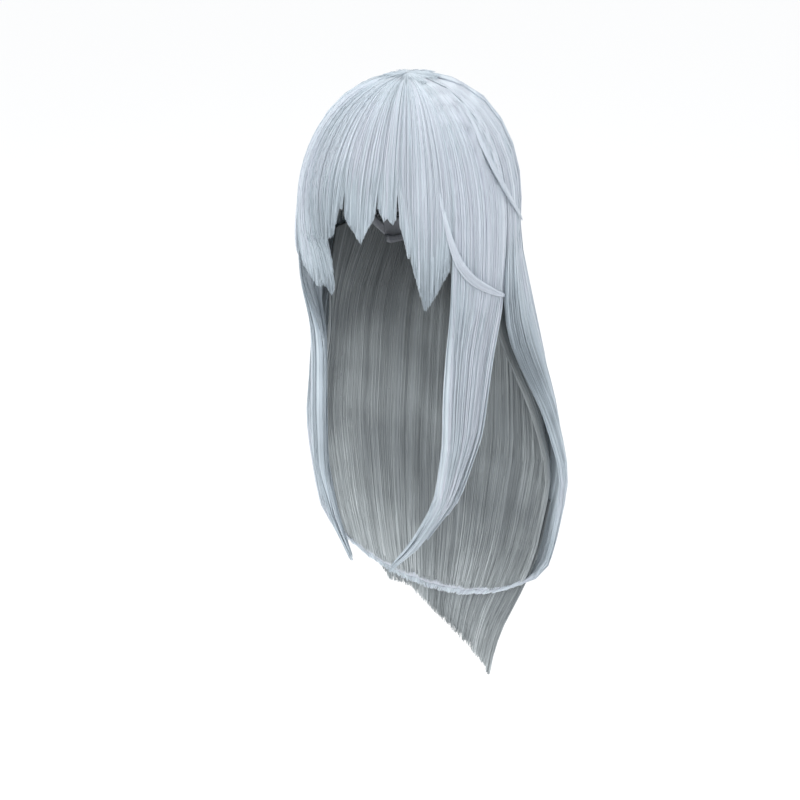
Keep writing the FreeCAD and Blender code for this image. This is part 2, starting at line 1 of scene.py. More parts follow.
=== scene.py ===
import json
import math
import bmesh
import bpy
import numpy as np
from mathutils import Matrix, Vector


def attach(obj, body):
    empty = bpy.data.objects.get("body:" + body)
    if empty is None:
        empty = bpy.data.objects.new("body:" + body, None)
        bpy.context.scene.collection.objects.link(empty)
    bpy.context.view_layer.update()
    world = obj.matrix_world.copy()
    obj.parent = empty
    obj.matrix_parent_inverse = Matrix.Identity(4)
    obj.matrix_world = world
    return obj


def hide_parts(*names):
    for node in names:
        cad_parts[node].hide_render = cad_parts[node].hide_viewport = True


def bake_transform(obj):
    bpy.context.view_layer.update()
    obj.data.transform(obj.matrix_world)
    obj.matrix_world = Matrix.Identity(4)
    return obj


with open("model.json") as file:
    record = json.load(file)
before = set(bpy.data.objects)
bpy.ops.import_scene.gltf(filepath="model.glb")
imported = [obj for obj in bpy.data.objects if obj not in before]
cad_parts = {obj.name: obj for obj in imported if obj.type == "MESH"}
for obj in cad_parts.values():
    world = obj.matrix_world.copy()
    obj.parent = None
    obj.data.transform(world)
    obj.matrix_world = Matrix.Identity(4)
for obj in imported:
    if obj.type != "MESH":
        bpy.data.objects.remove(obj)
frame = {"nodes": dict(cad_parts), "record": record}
mm = 0.001  # sizes below are in millimetres and angles in degrees
dice = np.random.default_rng(11)
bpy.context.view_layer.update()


def smooth(low, high, value):
    t = np.clip((value - low) / (high - low), 0, 1)
    return t * t * (3 - 2 * t)


def between(low, high, share):
    return low + (high - low) * share


def titled(label):  # side_hair becomes SideHair
    return "".join(word.title() for word in label.split("_"))


def add(tree, kind, inputs=(), **settings):
    made = tree.nodes.new(kind)
    for key, value in settings.items():
        setattr(made, key, value)
    for key, value in dict(inputs).items():
        if isinstance(value, bpy.types.NodeSocket):
            tree.links.new(value, made.inputs[key])
        else:
            made.inputs[key].default_value = value
    return made


# x runs to the wearer's left, y to the back, z up
dome = {"halfWidth": 105, "halfLength": 123, "height": 147, "fullness": 2.25, "crownY": -9, "arc": 212,
        "rootGap": 1.5}  # arc: hair from crown to ear level, rootGap: from the crown to where a lock starts
turns = np.arange(-200.0, 201.0)
low, high = np.zeros_like(turns), np.full_like(turns, 300.0)
for attempt in range(40):  # how far out the wall is in each direction from the crown
    middle = (low + high) / 2
    share = (np.abs(middle * np.sin(np.radians(turns)) / dome["halfWidth"]) ** dome["fullness"]
             + np.abs((dome["crownY"] - middle * np.cos(np.radians(turns))) / dome["halfLength"]) ** dome["fullness"])
    low, high = np.where(share < 1, middle, low), np.where(share < 1, high, middle)
wallReach = low


def onDome(angle, run, lift):  # angle from the front, length along the hair, height over the dome
    angle, run, lift = np.broadcast_arrays(angle, run, lift)
    angle = (angle + 180) % 360 - 180
    latitude = np.pi / 2 * np.clip(1 - run / dome["arc"], 0, 1)
    out = (np.interp(angle, turns, wallReach) + lift) * np.cos(latitude) ** (2 / dome["fullness"])
    x, y = out * np.sin(np.radians(angle)), dome["crownY"] - out * np.cos(np.radians(angle))
    share = (np.abs(x / (dome["halfWidth"] + lift)) ** dome["fullness"]
             + np.abs(y / (dome["halfLength"] + lift)) ** dome["fullness"])
    height = (dome["height"] + lift) * np.clip(1 - share, 0, 1) ** (1 / dome["fullness"])
    return np.stack([x, y, height - np.maximum(run - dome["arc"], 0)], -1)


ladder = np.arange(0.0, 900.0)  # lengths of hair to look heights up in


def runAt(angle, z):  # length of hair from the crown down to a height
    return np.interp(-np.asarray(z, float), -onDome(angle, ladder, 0)[:, 2], ladder)


curtainRows = [  # height, middle y, half width, half depth, angle from the back to the front edge
    (40, 2, 103, 112, 86), (0, 6, 107, 114, 89), (-30, 11, 109, 111, 96), (-70, 21, 118, 96, 108),
    (-110, 30, 128, 77, 115), (-150, 38, 138, 65, 113), (-197, 46, 149, 55, 106), (-277, 55, 165, 41, 98),
    (-309, 55, 164, 38, 95), (-389, 55, 153, 35, 94), (-444, 54, 137, 32, 93), (-500, 52, 116, 30, 90),
    (-545, 52, 106, 28, 90), (-620, 52, 98, 27, 90)]


def softTable(rows, spread):  # columns over height, with the corners between the rows rounded off
    rows = np.array(sorted(rows), float)
    steps = np.arange(rows[0, 0], rows[-1, 0] + 1, 2.0)
    kernel = np.hanning(int(spread) + 2)[1:-1]
    kernel /= kernel.sum()
    pad = len(kernel) // 2
    columns = []
    for number in range(1, rows.shape[1]):
        line = np.interp(steps, rows[:, 0], rows[:, number])
        columns.append(np.convolve(np.pad(line, (pad, len(kernel) - 1 - pad), "edge"), kernel, "valid"))
    return steps, columns


curtain = softTable(curtainRows, 25)


def onCurtain(share, z, lift):  # share runs from -1 to 1 round the back, from front edge to front edge
    share, z, lift = np.broadcast_arrays(share, z, lift)
    middle, wide, deep, edge = (np.interp(z, curtain[0], column) for column in curtain[1])
    turn = share * np.radians(edge)
    return np.stack([(wide + lift) * np.sin(turn), middle + (deep + lift) * np.cos(turn), z], -1)


back = {"angle": 82, "leave": (25, -60)}  # half angle round the crown, heights where dome becomes curtain


def onBack(share, run, lift):
    over = onDome(180 - back["angle"] * share, run, lift)
    z = over[..., 2]
    return between(over, onCurtain(share, z, lift), smooth(*back["leave"], z)[..., None])


locks = {  # height, x, y, half width, half thickness of the two long locks
    "left": (1, [(-40, 97, -42, 35, 5), (-77, 92, -43, 31, 6), (-128, 92, -54, 27, 8), (-202, 88, -57, 25, 8.5),
                 (-280, 71, -62, 19, 7.5), (-342, 38, -68, 13, 6), (-375, 10, -74, 3, 1.5)]),
    "right": (-1, [(-40, 96, -42, 33, 6), (-77, 89, -43, 29, 7), (-128, 78, -54, 24, 11),
                   (-202, 79, -57, 23, 11.5), (-274, 77, -60, 19, 10), (-336, 58, -66, 12, 7),
                   (-375, 33, -72, 3, 1.5)])}
lockTables = {side: softTable(rows, 18) for side, (sign, rows) in locks.items()}
lockLie = {"angle": 73.5, "spread": 23.5, "lift": -3, "depth": 3, "leave": (-35, -115), "turn": math.radians(60)}


def onLock(side, across, run, depth):  # from the dome into a hanging lock that faces half forwards
    across, run, depth = np.broadcast_arrays(across, run, depth)
    sign = locks[side][0]
    angle, lift = lockLie["angle"] + lockLie["spread"] * across, lockLie["lift"] + lockLie["depth"] * depth
    over = onDome(sign * angle, run, lift)
    z = over[..., 2]
    x, y, wide, thick = (np.interp(z, lockTables[side][0], column) for column in lockTables[side][1])
    turn = lockLie["turn"]
    low = np.stack([sign * (x + math.cos(turn) * wide * across + math.sin(turn) * thick * depth),
                    y + math.sin(turn) * wide * across - math.cos(turn) * thick * depth, z], -1)
    return between(over, low, smooth(*lockLie["leave"], z)[..., None])


def palette(*stops):  # colours given from 0 to 255
    return [tuple(channel / 255 for channel in stop) for stop in stops]


def linear(colour):  # screen colour to the colour a shader takes
    return tuple(channel / 12.92 if channel <= 0.04045 else ((channel + 0.055) / 1.055) ** 2.4
                 for channel in colour) + (1,)


def newMaterial(name, **values):
    made = bpy.data.materials.new(name)
    made.use_nodes = True
    shader = made.node_tree.nodes["Principled BSDF"]
    for key, value in values.items():
        shader.inputs[key.replace("_", " ")].default_value = value
    return made, made.node_tree, shader


def hairMaterial(name, colours, rootShade, rootReach, roughness):
    made, tree, shader = newMaterial(name, Roughness=roughness, Specular_IOR_Level=0.5)
    tone = add(tree, "ShaderNodeAttribute", attribute_name="tone").outputs["Fac"]
    grow = add(tree, "ShaderNodeAttribute", attribute_name="grow").outputs["Fac"]
    place = add(tree, "ShaderNodeTexCoord").outputs["Object"]
    patch = add(tree, "ShaderNodeTexNoise", {"Vector": place, "Scale": 9.0, "Detail": 2.0}).outputs["Fac"]
    spread = add(tree, "ShaderNodeMath", {0: patch, 1: -0.5}, operation="ADD").outputs[0]
    pick = add(tree, "ShaderNodeMath", {0: spread, 1: 0.9, 2: tone}, operation="MULTIPLY_ADD").outputs[0]
    ramp = add(tree, "ShaderNodeValToRGB", {"Fac": pick})
    stops = ramp.color_ramp.elements
    for number, colour in enumerate(colours):
        share = number / (len(colours) - 1)
        stop = stops[0] if share == 0 else stops[-1] if share == 1 else stops.new(share)
        stop.position, stop.color = share, linear(colour)
    # painted shade: the base colour darkens towards the root of each strand, to rootShade over the first rootReach of
    # its length
    root = add(tree, "ShaderNodeMapRange", {"Value": grow, "From Max": rootReach, "To Min": rootShade},
               interpolation_type="SMOOTHSTEP").outputs["Result"]
    dark = add(tree, "ShaderNodeVectorMath", {0: ramp.outputs["Color"], "Scale": root}, operation="SCALE")
    tree.links.new(dark.outputs["Vector"], shader.inputs["Base Color"])
    return made


hairLooks = {  # colours from dark to light, brightness and length of the painted shade at the roots, roughness
    "SilverFibre": (palette((146, 156, 164), (186, 197, 205), (205, 216, 223), (208, 212, 222), (215, 225, 232),
                            (230, 238, 243)), 0.78, 0.16, 0.34),
    # ShadedFibre is the same fibre in darker colours, painted shade for the hair inside the wig
    "ShadedFibre": (palette((104, 110, 113), (132, 138, 141), (156, 162, 164), (188, 195, 197), (214, 219, 221)),
                    0.55, 0.42, 0.45)}
outerHair, innerHair = (hairMaterial(name, *look) for name, look in hairLooks.items())


def newGroup(name, sockets):  # a node group that takes a mesh, some values and a material
    tree = bpy.data.node_groups.new(name, "GeometryNodeTree")
    tree.interface.new_socket("Geometry", in_out="OUTPUT", socket_type="NodeSocketGeometry")
    tree.interface.new_socket("Geometry", in_out="INPUT", socket_type="NodeSocketGeometry")
    for label, value in sockets.items():
        kind = "NodeSocketInt" if isinstance(value, int) else "NodeSocketFloat"
        tree.interface.new_socket(label, in_out="INPUT", socket_type=kind).default_value = value
    tree.interface.new_socket("Material", in_out="INPUT", socket_type="NodeSocketMaterial")
    return tree, tree.nodes.new("NodeGroupInput").outputs


def closeGroup(tree, geometry, material):  # every group ends in plain mesh with its material
    real = add(tree, "GeometryNodeRealizeInstances", {"Geometry": geometry}).outputs["Geometry"]
    finished = add(tree, "GeometryNodeSetMaterial", {"Geometry": real, "Material": material})
    add(tree, "NodeGroupOutput", {"Geometry": finished.outputs["Geometry"]})
    return tree


strandLook = {"toneSpread": 0.32, "noiseScale": 2.6, "thinFrom": 0.82, "tip": 0.2, "thickness": (0.65, 1.3)}


def strandGroup():  # one group for every tuft
    tree, given = newGroup("HairStrands", {"Strands": 8, "Fibre Radius": 0.0004, "Wander": 0.002,
                                           "Ragged Ends": 0.1, "Steps": 20, "Seed": 1})
    curves = add(tree, "GeometryNodeMeshToCurve", {"Mesh": given["Geometry"]}).outputs["Curve"]
    many = add(tree, "GeometryNodeDuplicateElements", {"Geometry": curves, "Amount": given["Strands"]},
               domain="SPLINE").outputs["Geometry"]
    index = add(tree, "GeometryNodeInputIndex").outputs["Index"]
    along = add(tree, "GeometryNodeSplineParameter").outputs["Factor"]

    def draw(number, low, high):  # one random value for each strand
        seed = add(tree, "ShaderNodeMath", {0: given["Seed"], 1: number}, operation="ADD").outputs[0]
        roll = add(tree, "FunctionNodeRandomValue", {2: low, 3: high, 7: index, 8: seed}, data_type="FLOAT")
        return add(tree, "GeometryNodeFieldOnDomain", {"Value": roll.outputs[1]}, domain="CURVE",
                   data_type="FLOAT").outputs["Value"]

    def spread(name, amount):  # part of the way along a vector that each guide carries
        vector = add(tree, "GeometryNodeInputNamedAttribute", {"Name": name}, data_type="FLOAT_VECTOR").outputs[0]
        return add(tree, "ShaderNodeVectorMath", {0: vector, "Scale": amount}, operation="SCALE").outputs["Vector"]

    sideways, outwards, phase = draw(0, -1, 1), draw(40, -1, 1), draw(80, 0, 90)
    spot = add(tree, "ShaderNodeCombineXYZ", {"X": along, "Y": phase, "Z": sideways}).outputs[0]
    noise = add(tree, "ShaderNodeTexNoise", {"Vector": spot, "Scale": strandLook["noiseScale"],
                                             "Detail": 1.0}).outputs["Color"]
    drift = add(tree, "ShaderNodeVectorMath", {0: noise, 1: (-0.5, -0.5, -0.5)}, operation="ADD").outputs["Vector"]
    loose = add(tree, "ShaderNodeMath", {0: given["Wander"], 1: along}, operation="MULTIPLY").outputs[0]
    sway = add(tree, "ShaderNodeVectorMath", {0: drift, "Scale": loose}, operation="SCALE").outputs["Vector"]
    shift = add(tree, "ShaderNodeVectorMath", {0: spread("across", sideways), 1: spread("out", outwards)},
                operation="ADD").outputs["Vector"]
    shift = add(tree, "ShaderNodeVectorMath", {0: shift, 1: sway}, operation="ADD").outputs["Vector"]
    moved = add(tree, "GeometryNodeSetPosition", {"Geometry": many, "Offset": shift}).outputs["Geometry"]
    lockTone = add(tree, "GeometryNodeInputNamedAttribute", {"Name": "shade"}, data_type="FLOAT").outputs[0]
    mixed = add(tree, "ShaderNodeMath", {0: draw(120, -0.5, 0.5), 1: strandLook["toneSpread"], 2: lockTone},
                operation="MULTIPLY_ADD").outputs[0]
    grown = moved
    for label, value in (("tone", mixed), ("grow", along)):
        grown = add(tree, "GeometryNodeStoreNamedAttribute", {"Geometry": grown, "Name": label, "Value": value},
                    data_type="FLOAT", domain="POINT").outputs["Geometry"]
    short = add(tree, "ShaderNodeMath", {0: draw(160, 0, 1), 1: 2.0}, operation="POWER").outputs[0]
    end = add(tree, "ShaderNodeMath", {0: short, 1: given["Ragged Ends"]}, operation="MULTIPLY").outputs[0]
    end = add(tree, "ShaderNodeMath", {0: 1.0, 1: end}, operation="SUBTRACT").outputs[0]
    trimmed = add(tree, "GeometryNodeTrimCurve", {"Curve": grown, 3: end}, mode="FACTOR").outputs["Curve"]
    even = add(tree, "GeometryNodeResampleCurve", {"Curve": trimmed, "Count": given["Steps"]}).outputs["Curve"]
    thin = add(tree, "ShaderNodeMapRange", {"Value": along, "From Min": strandLook["thinFrom"], "To Min": 1.0,
                                            "To Max": strandLook["tip"]},
               interpolation_type="SMOOTHSTEP").outputs["Result"]
    stout = add(tree, "ShaderNodeMath", {0: draw(200, *strandLook["thickness"]), 1: thin},
                operation="MULTIPLY").outputs[0]
    sized = add(tree, "GeometryNodeSetCurveRadius", {"Curve": even, "Radius": stout}).outputs["Curve"]
    ringShape = add(tree, "GeometryNodeCurvePrimitiveCircle", {"Resolution": 3, "Radius": given["Fibre Radius"]})
    tubes = add(tree, "GeometryNodeCurveToMesh", {"Curve": sized, "Profile Curve": ringShape.outputs["Curve"],
                                                  "Fill Caps": True}).outputs["Mesh"]
    rounded = add(tree, "GeometryNodeSetShadeSmooth", {"Geometry": tubes}).outputs["Geometry"]
    return closeGroup(tree, rounded, given["Material"])


strandTree = strandGroup()


def newObject(name, mesh):
    made = bpy.data.objects.new(name, mesh)
    bpy.context.scene.collection.objects.link(made)
    return made


def setAttribute(mesh, name, kind, values):
    field = "vector" if kind == "FLOAT_VECTOR" else "value"
    data = mesh.attributes.new(name, kind, "POINT").data
    data.foreach_set(field, np.ascontiguousarray(values, np.float32).ravel())


def grownFrom(name, mesh, tree, values):  # runs a node group on a mesh and keeps the plain result
    seeded = newObject(name, mesh)
    modifier = seeded.modifiers.new("Shape", "NODES")
    modifier.node_group = tree
    for item in tree.interface.items_tree:
        if item.in_out == "INPUT" and item.name in values:
            modifier[item.identifier] = values[item.name]
    graph = bpy.context.evaluated_depsgraph_get()
    plain = bpy.data.meshes.new_from_object(seeded.evaluated_get(graph), preserve_all_data_layers=True,
                                            depsgraph=graph)
    seeded.modifiers.remove(modifier)
    seeded.data = plain
    return seeded


def streak(count, low, high):  # uneven tone across a lock, broad bands with fine lines in them
    bands = dice.random(count // 4 + 2)
    broad = np.interp(np.arange(count), np.arange(len(bands)) * 4, bands)
    return between(low, high, 0.5 * dice.random(count) + 0.5 * broad)


def paintedLightAlong(spec, v, paintedMiddleShade):  # change of tone along a lock, all of it painted light: painted shade towards the tip (brighter tips where that value is below 0), a painted highlight at the rolled hem, painted shade over the middle of the length
    shade = spec["dusk"] * smooth(0.55, 1, v) + paintedMiddleShade * smooth(0.3, 0.42, v) * smooth(0.8, 0.6, v)
    # painted highlight: the rim value brightens the last few percent of a lock, where the hem rolls under
    return spec.get("rim", 0) * smooth(0.955, 0.985, v) - shade


def growStrands(name, guides, spec, material):  # loose strands about the guide lines
    points, across, out, shade = (np.concatenate([guide[key] for guide in guides])
                                  for key in ("points", "across", "out", "shade"))
    count, steps = points.shape[:2]
    first = (np.arange(count)[:, None] * steps + np.arange(steps - 1)[None]).ravel()
    mesh = bpy.data.meshes.new(name)
    mesh.from_pydata((points * mm).reshape(-1, 3), np.stack([first, first + 1], 1), [])
    setAttribute(mesh, "across", "FLOAT_VECTOR", across * mm)
    setAttribute(mesh, "out", "FLOAT_VECTOR", out * mm)
    setAttribute(mesh, "shade", "FLOAT", shade)
    values = {"Strands": spec["strands"], "Fibre Radius": spec["radius"] * mm, "Wander": spec["wander"] * mm,
              "Ragged Ends": spec["ragged"], "Steps": spec["steps"], "Seed": spec["seed"], "Material": material}
    return grownFrom(name, mesh, strandTree, values)


# a wisp's path takes w across it from -1 to 1, v along it from 0 to 1 and d through it
def matMesh(name, wisps, spec, material):  # closed pads of hair under the loose strands
    vertices, faces, tones, grows, offset = [], [], [], [], 0
    for path, width, *paintedMiddleShade in wisps:
        columns, rows = max(6, int(width / spec["column"])), spec["rows"]
        w = np.linspace(-1, 1, columns)
        v = np.linspace(0, 1, rows) ** 0.92 * spec["reach"]
        fade = 1.01 - smooth(spec["reach"] - 0.2, spec["reach"], v)
        ridge = 0.9 + 0.1 * dice.random(columns)
        edge = np.sqrt(np.clip(1 - np.abs(w) ** 6, 0, 1))
        grid = w[:, None] + 0 * v[None], v[None] + 0 * w[:, None]
        top = path(*grid, (spec["top"] * ridge * edge)[:, None] * fade)
        under = path(*grid, (-spec["under"] * edge)[:, None] * fade)
        size = columns * rows
        vertices += [top.reshape(-1, 3), under.reshape(-1, 3)]
        number = np.arange(size).reshape(columns, rows) + offset
        for start, flip in ((0, False), (size, True)):
            quads = np.stack([number[:-1, :-1], number[1:, :-1], number[1:, 1:], number[:-1, 1:]], -1) + start
            faces.append((quads[..., ::-1] if flip else quads).reshape(-1, 4))
        rim = np.concatenate([number[:, 0], number[-1, 1:], number[-2::-1, -1], number[0, -2:0:-1]])
        after = np.roll(rim, -1)
        faces.append(np.stack([after, rim, rim + size, after + size], -1))
        tone = streak(columns, *spec["matTones"])[:, None] + paintedLightAlong(spec, v, sum(paintedMiddleShade))
        # painted shade: the underside of each pad takes 0.8 of its top's tone
        tones += [tone.ravel(), tone.ravel() * 0.8]
        grows += [grid[1].ravel(), grid[1].ravel()]
        offset += 2 * size
    mesh = bpy.data.meshes.new(name)
    mesh.from_pydata(np.concatenate(vertices) * mm, [], np.concatenate(faces))
    mesh.polygons.foreach_set("use_smooth", np.ones(len(mesh.polygons), bool))
    setAttribute(mesh, "tone", "FLOAT", np.concatenate(tones))
    setAttribute(mesh, "grow", "FLOAT", np.concatenate(grows))
    mesh.materials.append(material)
    return newObject(name, mesh)


def guidesOf(spec, path, width, paintedMiddleShade=0):  # lines along one wisp, with how far its strands may spread
    count = max(2, round(width / spec["lockWidth"]))
    w = (np.arange(count) + 0.5) / count * 2 - 1
    v = np.linspace(0, 1, spec["steps"] + 6)[None]
    blocks = []
    for depth in spec["depths"]:
        middle = w[:, None] + 0 * v
        half = 0.62 / count
        level = depth + dice.uniform(-0.15, 0.15, count)[:, None]
        points = path(middle, v, level)
        across = (path(middle + half, v, level) - path(middle - half, v, level)) * 0.8
        out = (path(middle, v, level + 0.3) - path(middle, v, level - 0.3)) / 2
        tone = streak(count, *spec["tones"])[:, None] + paintedLightAlong(spec, v, paintedMiddleShade)
        blocks.append({"points": points, "across": across, "out": out, "shade": tone})
    return {key: np.concatenate([block[key] for block in blocks]) for key in blocks[0]}


def hairPiece(name, wisps, spec, material, nodes=()):  # each wisp: path, width and how much painted shade darkens the middle of its length
    made = growStrands(name, [guidesOf(spec, *wisp) for wisp in wisps], spec, material)
    mat = matMesh(name + "Mat", wisps, spec, material)
    with bpy.context.temp_override(active_object=made, selected_editable_objects=[made, mat]):
        bpy.ops.object.join()
    if nodes:
        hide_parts(*nodes)
    print(name, len(wisps), "wisps", sum(len(face.vertices) - 2 for face in made.data.polygons), "triangles")
    return made


hemLine = np.array([  # x and height of the fringe's lower edge
    (-100, -14), (-82, -14), (-66, -48), (-60, -46), (-50, -54), (-44, -48), (-37, 0), (-34, 8), (-21, 18), (-14, 44),
    (9, 16), (25, 46), (30, 37), (34, 42), (39, 35), (43, 40), (48, 27), (54, 3), (66, -50), (74, -38), (82, -14),
    (100, -14)], float)
hemLevel = (1 - (np.maximum(hemLine[:, 1], 0) / dome["height"]) ** dome["fullness"]) ** (1 / dome["fullness"])
hemY = -dome["halfLength"] * hemLevel * (1 - np.abs(hemLine[:, 0] / dome["halfWidth"] / hemLevel)
                                         ** dome["fullness"]) ** (1 / dome["fullness"])
hemAngle = np.degrees(np.arctan2(hemLine[:, 0], dome["crownY"] - hemY))
fringeSpan = 60  # degrees to each side, and mm above and below ear level
spanSteps = np.arange(-fringeSpan, fringeSpan + 1)
fringeRuns = np.array([runAt(angle, spanSteps) for angle in spanSteps])


def fringeRun(angle):  # length of hair from the crown to the lower edge
    low, high = -fringeSpan, fringeSpan - 0.1
    z = np.clip(np.interp(angle, hemAngle, hemLine[:, 1]), low, high) - low
    i, j = (np.clip(angle, low, high) - low).astype(int), z.astype(int)
    return fringeRuns[i, j] + (fringeRuns[i, j + 1] - fringeRuns[i, j]) * (z - j)


cheek = {"tuck": 21, "from": (-48, -26), "to": (-14, -20), "down": (-60, 60)}  # lies inside the dome there
fringeTeeth = [  # where each pointed part ends and where its tip is: angles from the front
    (-16, -33), (-7, -10.5), (13, 4.6), (17.5, 15.5), (21.5, 19.5), (50, 38)]


def fringeWisp(start, end, lift, spec):
    middle, half = (start + end) / 2, (end - start) / 2
    shorter, lean = dice.uniform(*spec["shorter"]), dice.uniform(-spec["lean"], spec["lean"])
    tip = next(point for edge, point in fringeTeeth if middle < edge)

    def path(w, v, d):
        finalAngle = between(middle + lean + half * 0.92 * w, tip, spec["gather"])
        finish = fringeRun(finalAngle) - shorter - spec["round"] * np.abs(w) ** 3
        body = spec["thick"] * (0.3 + 0.7 * smooth(0, 0.3, v)) * (1 - 0.6 * smooth(0.7, 1, v))
        angle = between(middle + half * w, finalAngle, smooth(0.7, 1, v))
        run = between(dome["rootGap"], finish, v)
        tuck = cheek["tuck"] * smooth(*cheek["from"], angle) * smooth(*cheek["to"], angle)
        tuck = tuck * smooth(*cheek["down"], run - dome["arc"])
        return onDome(angle, run, lift - tuck + body * d)

    return path, abs(end - start) * 1.95  # a degree of the dome is about 1.95 mm wide


def fringeWisps(start, end, spec):
    count = max(1, round(abs(end - start) / spec["wispAngle"]))
    edges = np.linspace(start, end, count + 1)
    edges[1:-1] += dice.uniform(-0.25, 0.25, count - 1) * spec["wispAngle"]
    return [fringeWisp(a - spec["overlap"], b + spec["overlap"], spec["lift"] + dice.uniform(-0.5, 0.5), spec)
            for a, b in zip(edges, edges[1:])]


# the fringe darkens towards its lower edge: painted shade
fringe = {"wispAngle": 3.0, "overlap": 0.9, "lift": -2.6, "thick": 2.4, "shorter": (-4.5, -1.5), "lean": 0.3,
          "gather": 0.17, "round": 1.5, "strands": 12, "radius": 0.24, "wander": 1.6, "ragged": 0.1, "steps": 17,
          "seed": 3, "lockWidth": 2.2, "depths": (0.2, 0.8), "column": 1.1, "rows": 30, "top": 0.5, "under": 0.9,
          "reach": 0.92, "tones": (0.4, 0.75), "matTones": (0.3, 0.6), "dusk": 0.35}
fringeHair = hairPiece("FringeHair", fringeWisps(-20, 28, fringe), fringe, outerHair,
                       ["fringe_centre", "fringe_left", "fringe_right"])
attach(fringeHair, "cap")

sideFringe = {**fringe, "wispAngle": 3.6, "seed": 17, "steps": 21, "rows": 36}
for side, low, high in (("left", 28, 50), ("right", -50, -20)):
    piece = hairPiece("SideFringe" + side.title(), fringeWisps(low, high, sideFringe), sideFringe, outerHair,
                      ["side_fringe_" + side])
    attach(piece, "cap")


def tuftWisp(middle, length, spec):  # short hair round the crown, where every lock starts
    def path(w, v, d):
        level = spec["lift"] + spec["thick"] * d + spec["sink"] * v
        return onDome(middle + spec["wispAngle"] / 2 * w, spec["start"] + length * v, level)

    return path, length * 0.35


# the tuft's low tones are painted shadow among the roots at the crown
tuft = {**fringe, "wispAngle": 22, "start": 0.3, "lengths": (14, 34), "lift": -0.9, "thick": 0.5, "sink": -0.8,
        "strands": 7, "radius": 0.2, "wander": 1.5, "ragged": 0.6, "steps": 10, "rows": 8, "seed": 7,
        "lockWidth": 2.0, "depths": (0.4,), "reach": 0.3, "tones": (0.1, 0.6), "dusk": 0.0}
tuftWisps = [tuftWisp(turn, dice.uniform(*tuft["lengths"]), tuft) for turn in range(0, 360, 20)]
crownTuft = hairPiece("CrownTuft", tuftWisps, tuft, outerHair, ["crown_whorl"])
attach(crownTuft, "cap")


# the long locks in front of the ears
def lockWisp(side, start, end, tip, tipZ, level, thick, gatherFrom):
    middle, half, finish = (start + end) / 2, (end - start) / 2, runAt(lockLie["angle"], tipZ)

    def path(w, v, d):
        gather = smooth(gatherFrom, 1, v)
        across = between(middle, tip, gather) + half * (1 - 0.8 * gather) * w
        depth = level + thick * d * (0.35 + 0.65 * smooth(0, 0.2, v))
        return onLock(side, across, between(dome["rootGap"], finish, v), depth)

    return path, abs(end - start) * 30


# the long locks darken a little towards their tips: painted shade
longLock = {"strands": 13, "radius": 0.26, "wander": 3.4, "ragged": 0.08, "steps": 28, "seed": 29, "lockWidth": 2.6,
            "depths": (-0.8, 0.8), "column": 1.2, "rows": 60, "top": 0.5, "under": 0.8, "reach": 0.98, "dusk": 0.12}
lockParts = [  # from, to, where it gathers, height of the tip, depth, half thickness, start of the gathering
    (-1.0, -0.35, -0.2, -368, 0.1, 0.75, 0.6), (-0.45, 0.2, 0.0, -375, 0.3, 0.7, 0.6),
    (0.1, 0.66, 0.3, -372, -0.1, 0.75, 0.55), (0.62, 0.84, 0.6, -330, 0.2, 0.5, 0.5),
    (0.86, 0.93, 0.85, -300, 0.3, 0.35, 0.4), (0.95, 1.0, 0.95, -260, -0.2, 0.35, 0.4)]
lockLooks = {"left": (1.0, {"tones": (0.35, 0.75), "matTones": (0.3, 0.6)}),  # thickness, tones; the right lock's lower tones are painted shade
             "right": (0.7, {"tones": (0.12, 0.52), "matTones": (0.05, 0.35)})}
for side, (slim, tones) in lockLooks.items():
    sign = locks[side][0]
    wisps = [lockWisp(side, *part[:4], part[4] * slim, part[5] * slim, part[6]) for part in lockParts]
    piece = hairPiece("LongLock" + side.title(), wisps, {**longLock, **tones}, outerHair,
                      ["temple_hair_" + side, "side_lock_" + side])
    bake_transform(piece)

# the small locks that lie over them
smallLocks = {  # angle from the front, height, half width, half thickness, lift
    "jaw_lock_left": (1, [(37, 84, 0.6, 0.4, -3), (39.5, 60, 1.0, 0.6, -2.2), (42, 36, 1.7, 0.9, -1.8),
                          (45, 12, 2.8, 1.2, -1.2), (49, -9, 4.0, 1.5, -0.4), (56, -27, 4.4, 1.6, 0.8),
                          (66, -41, 3.6, 1.4, 1.5), (79, -55, 2.2, 1.0, 1.8), (93, -66, 0.5, 0.4, 1.5)]),
    "jaw_lock_right": (-1, [(40, 72, 1.2, 0.5, -5), (42, 50, 2.0, 0.9, -4), (44, 30, 2.8, 1.1, -3),
                            (47, 10, 3.6, 1.2, -1.8), (51, -12, 4.0, 1.4, -0.8), (58, -30, 3.8, 1.3, -0.2),
                            (68, -44, 2.8, 1.1, 0.2), (77, -56, 1.6, 0.8, 0.5), (87, -64, 0.5, 0.4, 0.5)]),
    "ear_flick_left": (1, [(79, 130, 1.0, 0.5, -5), (76, 118, 1.8, 0.7, -4), (74, 104, 2.4, 0.9, -2),
                           (73, 92, 3.0, 1.1, -0.2), (77, 71, 3.4, 1.3, 0.6), (85, 48, 3.2, 1.3, 1.0),
                           (97, 24, 2.2, 1.0, 1.4), (114, 1, 0.5, 0.4, 1.8)])}
smallSpec = {"strands": 12, "radius": 0.22, "wander": 1.4, "ragged": 0.12, "steps": 26, "seed": 41,
             "lockWidth": 1.6, "depths": (0.0, 0.8), "column": 0.8, "rows": 40, "top": 0.5, "under": 0.8,
             "reach": 0.94, "tones": (0.4, 0.8), "matTones": (0.3, 0.6), "dusk": 0.0}


def domeSpot(angle, z, lift):  # a point over the dome at a height
    power, tall = dome["fullness"], dome["height"]
    level = (1 - (np.clip(z, 0, tall - 0.5) / tall) ** power) ** (1 / power)
    x, y = np.sin(np.radians(angle)), -np.cos(np.radians(angle))
    wide, long = dome["halfWidth"] * level, dome["halfLength"] * level
    out = (np.abs(x / wide) ** power + np.abs(y / long) ** power) ** (-1 / power)
    steep = 1 - np.clip(z, 0, tall) / tall * 0.8
    return np.stack([x * (out + lift * steep), y * (out + lift * steep), z + lift * (1 - steep)], -1)


